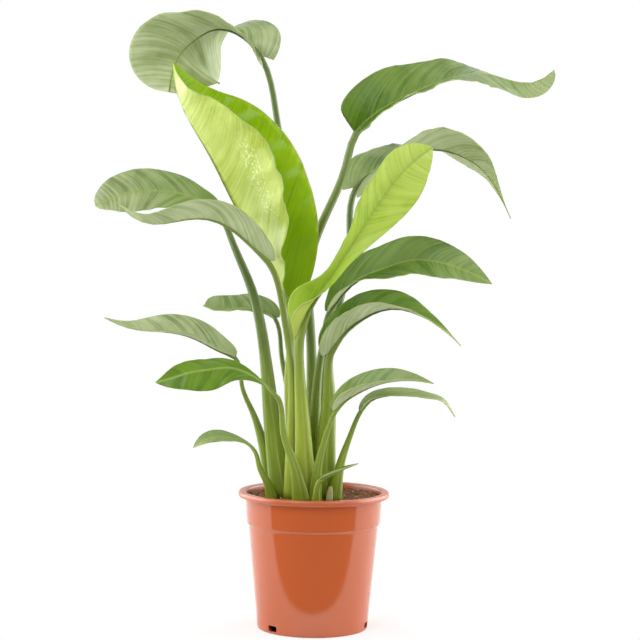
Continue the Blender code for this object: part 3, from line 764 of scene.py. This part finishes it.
def rounded(profile, radius, steps=3):
    """The profile with each inner corner drawn round, for corners longer than the radius."""
    points = [Vector(point) for point in profile]
    found = [points[0]]
    for before, corner, after in zip(points, points[1:], points[2:]):
        back = before - corner
        ahead = after - corner
        reach = min(radius, back.length * 0.45, ahead.length * 0.45)
        start = corner + back.normalized() * reach
        end = corner + ahead.normalized() * reach
        for k in range(steps + 1):
            t = k / steps
            found.append(start * (1 - t) ** 2 + corner * 2 * t * (1 - t) + end * t**2)
    found.append(points[-1])
    return [tuple(point) for point in found]


def cut_notches(piece):
    """Cuts the three notches in the pot's bottom edge."""
    cutters = []
    for turn in NOTCH_TURNS:
        angle = math.radians(turn)
        bm = bmesh.new()
        bmesh.ops.create_cube(bm, size=1.0, matrix=Matrix.Diagonal((*NOTCH_SIZE, 1.0)))
        upright = [e for e in bm.edges if abs((e.verts[0].co - e.verts[1].co).normalized().y) > 0.5]
        bmesh.ops.bevel(
            bm, geom=upright, offset=0.0018, segments=4, profile=0.5, affect="EDGES", material=-1
        )
        place = Vector((BASE_RADIUS * math.cos(angle), BASE_RADIUS * math.sin(angle), NOTCH_Z))
        spot = Matrix.Translation(place) @ Matrix.Rotation(angle + math.pi / 2, 4, "Z")
        bmesh.ops.transform(bm, matrix=spot, verts=bm.verts)
        mesh = bpy.data.meshes.new("notch")
        bm.to_mesh(mesh)
        bm.free()
        cutter = bpy.data.objects.new("notch", mesh)
        bpy.context.scene.collection.objects.link(cutter)
        cutters.append(cutter)
        cut = piece.modifiers.new("notch", "BOOLEAN")
        cut.operation = "DIFFERENCE"
        cut.solver = "EXACT"
        cut.object = cutter
    graph = bpy.context.evaluated_depsgraph_get()
    finished = bpy.data.meshes.new_from_object(piece.evaluated_get(graph))
    finished.set_sharp_from_angle(angle=NOTCH_SHARP)
    piece.modifiers.clear()
    piece.data = finished
    for cutter in cutters:
        bpy.data.objects.remove(cutter)


class LeafSettings(bpy.types.PropertyGroup):
    blade_thickness: bpy.props.FloatProperty(
        name="Blade thickness", description="Thickness of each blade", default=0.0009, min=0.0003,
        max=0.002, unit="LENGTH",
    )
    blade_cells: bpy.props.IntVectorProperty(
        name="Blade cells", description="Cells along and across each blade", default=(64, 24), size=2
    )
    stalk_cells: bpy.props.IntVectorProperty(
        name="Stalk cells", description="Sides and steps of each stalk", default=(20, 32), size=2
    )


class SoilSettings(bpy.types.PropertyGroup):
    crumbs: bpy.props.IntProperty(
        name="Crumbs", description="Loose crumbs on the soil", default=760, min=0
    )
    crumb_size: bpy.props.FloatProperty(
        name="Crumb size", description="Radius of a common crumb", default=0.0024, unit="LENGTH"
    )


class StudioSettings(bpy.types.PropertyGroup):
    floor_size: bpy.props.FloatProperty(
        name="Floor size", description="Side of the floor", default=12.0, unit="LENGTH"
    )
    camera_distance: bpy.props.FloatProperty(
        name="Camera distance", description="From the pot's axis to the camera", default=2.8, unit="LENGTH"
    )
    camera_height: bpy.props.FloatProperty(
        name="Camera height", description="Above the floor", default=0.591, unit="LENGTH"
    )
    lens: bpy.props.FloatProperty(name="Lens", description="Focal length in mm", default=113.7)


class PLANT_OT_pot(bpy.types.Operator):
    """Builds the glossy pot with its rolled lip, collar, step and notches"""

    bl_idname = "plant.pot"
    bl_label = "Pot"

    def execute(self, context):
        inner_step = STEP_RADIUS - WALL
        lean = (STEP_RADIUS - BASE_RADIUS) / (STEP_Z - BASE_ROUND)
        ring = (BASE_RADIUS + (NOTCH_RING - BASE_ROUND) * lean, NOTCH_RING)
        profile = (
            (0.0, 0.0), (BASE_RADIUS - BASE_ROUND, 0.0), (BASE_RADIUS - 0.0002, 0.0004),
            (BASE_RADIUS + 0.0001, BASE_ROUND), ring, (STEP_RADIUS, STEP_Z - 0.0020),
            (STEP_RADIUS + 0.0006, STEP_Z), (COLLAR_FOOT_RADIUS, STEP_Z + 0.0022),
            (COLLAR_TOP_RADIUS, LIP_BOTTOM), (RIM_RADIUS - 0.0006, LIP_BOTTOM),
            (RIM_RADIUS, LIP_BOTTOM + 0.0032), (RIM_RADIUS - 0.0008, RIM_HEIGHT),
            (COLLAR_TOP_RADIUS - WALL * 0.6, RIM_HEIGHT), (COLLAR_TOP_RADIUS - WALL, LIP_BOTTOM - 0.0005),
            (COLLAR_FOOT_RADIUS - WALL, STEP_Z + 0.0026), (inner_step, STEP_Z - 0.0014),
            (BASE_RADIUS - WALL, BASE_ROUND + FLOOR), (BASE_RADIUS - BASE_ROUND - WALL, FLOOR),
            (0.0, FLOOR),
        )
        bm = spun(rounded(profile, 0.0030, 4), ROUND_STEPS)
        piece = add_piece("nursery_pot", bm, [pot_finish()], ["pot"])
        cut_notches(piece)
        check_fit(piece, "pot")
        return {"FINISHED"}


class PLANT_OT_soil(bpy.types.Operator):
    """Fills the pot with coarse soil, crumbs, bark and a few pale beads"""

    bl_idname = "plant.soil"
    bl_label = "Soil"

    def execute(self, context):
        settings = context.scene.plant_soil
        reach = COLLAR_TOP_RADIUS - WALL - 2 * GAP
        rings = [(reach * (1 - k / 22), SOIL_TOP - 0.001) for k in range(22)] + [(0.0, SOIL_TOP)]
        profile = [(0.0, 0.120), (0.085, 0.120), (reach - 0.003, STEP_Z + 0.012)] + rings
        bm = spun(profile, ROUND_STEPS)
        for vert in bm.verts:
            radius = vert.co.xy.length
            if vert.co.z > 0.17:
                rough = noise.fractal(vert.co * 130.0, 0.7, 2.2, 4) * 0.0016
                mound = 0.0022 * math.sin(min(1.0, (reach - radius) / 0.03) * math.pi)
                vert.co.z += (rough + max(0.0, mound)) * min(1.0, (reach - radius) / 0.006 + 0.25)
        dark, light = (0.042, 0.015, 0.006), (0.350, 0.150, 0.055)
        add_piece("soil_fill", bm, [soil_finish("soil_mix", dark, light)], ["soil"])
        random.seed(11)
        self.scatter("soil_crumbs", settings.crumbs, settings.crumb_size, soil_finish("soil_crumb", (0.060, 0.026, 0.013), (0.420, 0.200, 0.085)), (1.0, 0.75, 0.6))
        self.scatter("bark_bits", 60, settings.crumb_size * 1.3, soil_finish("soil_bark", (0.080, 0.036, 0.017), (0.360, 0.190, 0.095)), (2.6, 0.9, 0.5))
        self.scatter("pale_beads", 7, settings.crumb_size * 1.1, soil_finish("soil_bead", (0.500, 0.450, 0.360), (0.800, 0.760, 0.680)), (1.0, 0.9, 0.8))
        return {"FINISHED"}

    def scatter(self, name, count, size, material, shape):
        """Small broken lumps, strewn at random over the soil outside its middle."""
        bm = bmesh.new()
        for _ in range(count):
            radius = 0.0915 * math.sqrt(random.uniform(0.12, 1.0))
            angle = random.uniform(0, 2 * math.pi)
            made = bmesh.ops.create_icosphere(bm, subdivisions=1, radius=1.0)["verts"]
            grain = size * random.uniform(0.5, 1.25)
            for vert in made:
                vert.co *= random.uniform(0.75, 1.2)
                vert.co = Vector(a * b for a, b in zip(vert.co, shape)) * grain
            turn = Matrix.Rotation(random.uniform(0, 6.28), 4, "Z") @ Matrix.Rotation(random.uniform(-0.5, 0.5), 4, "X")
            height = SOIL_TOP + 0.0005 + 0.0015 * math.sin(min(1.0, (0.0929 - radius) / 0.03) * math.pi)
            spot = Matrix.Translation((radius * math.cos(angle), radius * math.sin(angle), height)) @ turn
            bmesh.ops.transform(bm, matrix=spot, verts=made)
        add_piece(name, bm, [material])


class PLANT_OT_stalks(bpy.types.Operator):
    """Builds the sixteen stalks, each running on as its blade's midrib, and the old sheath"""

    bl_idname = "plant.stalks"
    bl_label = "Stalks"

    def execute(self, context):
        material = stalk_finish()
        sides, steps = context.scene.plant_leaves.stalk_cells
        for leaf in LEAVES:
            bm = stalk_mesh(leaf, sides, steps)
            add_piece("leaf_stalk_" + leaf.name, bm, [material], ["stalk_" + leaf.name])
        foot = SOIL_TOP - 0.001
        places = [(0.0210, -0.047, foot), (0.0216, -0.047, foot + 0.008), (0.0222, -0.047, foot + 0.015), (0.0228, -0.047, foot + 0.022)]
        bm = swept(places, [(0, 0, 1)] * 4, (0.010, 0.0095, 0.008, 0.005), (0.006, 0.0055, 0.0045, 0.003), sides, (0.0, 0.008, 0.015, 0.022))
        add_piece("dead_sheath", bm, [dry_finish()], ["old_sheath"])
        return {"FINISHED"}


class PLANT_OT_blades(bpy.types.Operator):
    """Builds the sixteen folded, veined blades"""

    bl_idname = "plant.blades"
    bl_label = "Blades"

    def execute(self, context):
        settings = context.scene.plant_leaves
        margin = edge_finish()
        finishes = {
            False: [
                leaf_finish("mature_top", MATURE_TOP, MATURE_TOP_LIGHT, MATURE_UNDER_LIGHT, 0.32, 0.26, 0.7, 0.27),
                leaf_finish("mature_under", MATURE_UNDER, MATURE_UNDER_LIGHT, MATURE_UNDER, 0.48, 0.35, 0.8, 0.31),
                margin,
            ],
            True: [
                leaf_finish("young_top", YOUNG_TOP, YOUNG_TOP_LIGHT, YOUNG_UNDER_LIGHT, 0.30, 0.22, 0.5, 0.36),
                leaf_finish("young_under", YOUNG_UNDER, YOUNG_UNDER_LIGHT, YOUNG_UNDER, 0.34, 0.35, 0.7, 0.36, True),
                margin,
            ],
        }
        for leaf in LEAVES:
            young = leaf.name in YOUNG
            along, across = settings.blade_cells
            bm = blade_mesh(leaf, along, across)
            piece = add_piece("leaf_blade_" + leaf.name, bm, finishes[young], ["blade_" + leaf.name])
            check_fit(piece, "blade_" + leaf.name)
            thicken = piece.modifiers.new("thickness", "SOLIDIFY")
            thicken.thickness = settings.blade_thickness
            thicken.offset = 0.0
            thicken.material_offset = 1
            thicken.material_offset_rim = 2
        return {"FINISHED"}


def area_light(name, place, target, size, power, colour=(1.0, 1.0, 1.0)):
    data = bpy.data.lights.new(name, "AREA")
    data.shape = "RECTANGLE"
    data.size, data.size_y = size
    data.energy = power
    data.color = colour
    lamp = bpy.data.objects.new(name, data)
    lamp.location = place
    lamp.rotation_euler = (Vector(target) - Vector(place)).to_track_quat("-Z", "Y").to_euler()
    bpy.context.scene.collection.objects.link(lamp)


class PLANT_OT_studio(bpy.types.Operator):
    """Sets the pale floor, the soft lights, the world and the camera"""

    bl_idname = "plant.studio"
    bl_label = "Studio"

    def execute(self, context):
        settings = context.scene.plant_studio
        self.floor(settings.floor_size)
        self.world()
        area_light("key", (-1.3, -2.4, 2.6), (0.0, 0.0, 0.45), (1.8, 1.8), 56.0)
        area_light("fill", (1.6, -2.2, 1.9), (0.0, 0.0, 0.45), (1.6, 1.6), 26.0)
        area_light("left_wall", (-1.9, 0.6, 0.9), (0.0, 0.2, 0.4), (3.2, 2.2), 75.0)
        area_light("right_wall", (1.9, 0.7, 0.9), (0.0, 0.2, 0.4), (2.8, 2.2), 74.0)
        self.camera(settings)
        context.scene.view_settings.view_transform = "Standard"
        return {"FINISHED"}

    def floor(self, size):
        bm = bmesh.new()
        bmesh.ops.create_grid(bm, x_segments=1, y_segments=1, size=size / 2)
        mesh = bpy.data.meshes.new("floor")
        bm.to_mesh(mesh)
        bm.free()
        finish = Finish("pale_floor", Roughness=0.9)
        finish.shader.inputs["Base Color"].default_value = (0.86, 0.86, 0.86, 1.0)
        seen = finish.light_path("Is Camera Ray")
        place = finish.place()
        away = finish.node("ShaderNodeVectorMath", {"operation": "LENGTH"}, {0: place}, output="Value")
        front = finish.light_path("Is Glossy Ray") * finish.between(0.0 - place.part("Y"), 0.140, 0.175)
        colour = finish.blend(front, (1.0, 1.0, 1.0), (FRONT_LIGHT, FRONT_LIGHT, FRONT_LIGHT))
        glow = finish.node("ShaderNodeEmission", {}, {"Color": colour, "Strength": 1.0})
        mixed = finish.node(
            "ShaderNodeMixShader", {}, {0: seen * finish.between(away, 0.12, 0.42, 0.55, 1.0) + front}
        )
        shown = mixed.socket.node
        finish.tree.links.new(finish.shader.outputs[0], shown.inputs[1])
        finish.tree.links.new(glow.socket, shown.inputs[2])
        output = next(n for n in finish.tree.nodes if n.type == "OUTPUT_MATERIAL")
        finish.tree.links.new(mixed.socket, output.inputs["Surface"])
        mesh.materials.append(finish.material)
        floor = bpy.data.objects.new("floor", mesh)
        bpy.context.scene.collection.objects.link(floor)

    def world(self):
        world = bpy.data.worlds.new("studio")
        world.use_nodes = True
        shading = Shading(world.node_tree)
        seen = shading.light_path("Is Camera Ray") + shading.light_path("Is Transmission Ray")
        glossy = shading.light_path("Is Glossy Ray")
        behind = shading.node("ShaderNodeTexCoord", {}, {}, output="Generated").part("Y")
        mirrored = shading.between(behind, -0.30, -0.14, FRONT_LIGHT, 1.0)
        level = seen + (1.0 - seen) * (glossy * mirrored + (1.0 - glossy) * ROOM_LIGHT)
        back = shading.tree.nodes["Background"]
        shading.tree.links.new(level.socket, back.inputs["Strength"])
        back.inputs["Color"].default_value = (1.0, 1.0, 1.0, 1.0)
        bpy.context.scene.world = world

    def camera(self, settings):
        tilt = math.radians(3.29)
        roll = math.radians(0.723)
        forward = Vector((0.0, math.cos(tilt), -math.sin(tilt)))
        right = Vector((1.0, 0.0, 0.0))
        up = right.cross(forward)
        right, up = (
            right * math.cos(roll) + up * math.sin(roll),
            up * math.cos(roll) - right * math.sin(roll),
        )
        data = bpy.data.cameras.new("camera")
        data.lens = settings.lens
        data.sensor_width = 36.0
        camera = bpy.data.objects.new("camera", data)
        turn = Matrix((right, up, -forward)).transposed().to_4x4()
        place = Vector((0.0056, -settings.camera_distance, settings.camera_height))
        camera.matrix_world = Matrix.Translation(place) @ turn
        bpy.context.scene.collection.objects.link(camera)
        bpy.context.scene.camera = camera


class PLANT_PT_panel(bpy.types.Panel):
    """Lists the plant's pieces"""

    bl_idname = "PLANT_PT_panel"
    bl_label = "Bird of paradise"
    bl_space_type = "VIEW_3D"
    bl_region_type = "UI"
    bl_category = "Plant"

    def draw(self, context):
        scene = context.scene
        for group in (scene.plant_leaves, scene.plant_soil, scene.plant_studio):
            for name in group.__annotations__:
                self.layout.prop(group, name)
        for operator in OPERATORS:
            self.layout.operator(operator.bl_idname)


OPERATORS = (PLANT_OT_pot, PLANT_OT_soil, PLANT_OT_stalks, PLANT_OT_blades, PLANT_OT_studio)
CLASSES = (LeafSettings, SoilSettings, StudioSettings) + OPERATORS + (PLANT_PT_panel,)


def register():
    for kind in CLASSES:
        bpy.utils.register_class(kind)
    bpy.types.Scene.plant_leaves = bpy.props.PointerProperty(type=LeafSettings)
    bpy.types.Scene.plant_soil = bpy.props.PointerProperty(type=SoilSettings)
    bpy.types.Scene.plant_studio = bpy.props.PointerProperty(type=StudioSettings)


def unregister():
    del bpy.types.Scene.plant_leaves
    del bpy.types.Scene.plant_soil
    del bpy.types.Scene.plant_studio
    for kind in reversed(CLASSES):
        bpy.utils.unregister_class(kind)


def main():
    register()
    for operator in OPERATORS:
        group, name = operator.bl_idname.split(".")
        getattr(getattr(bpy.ops, group), name)()


if __name__ == "__main__":
    main()
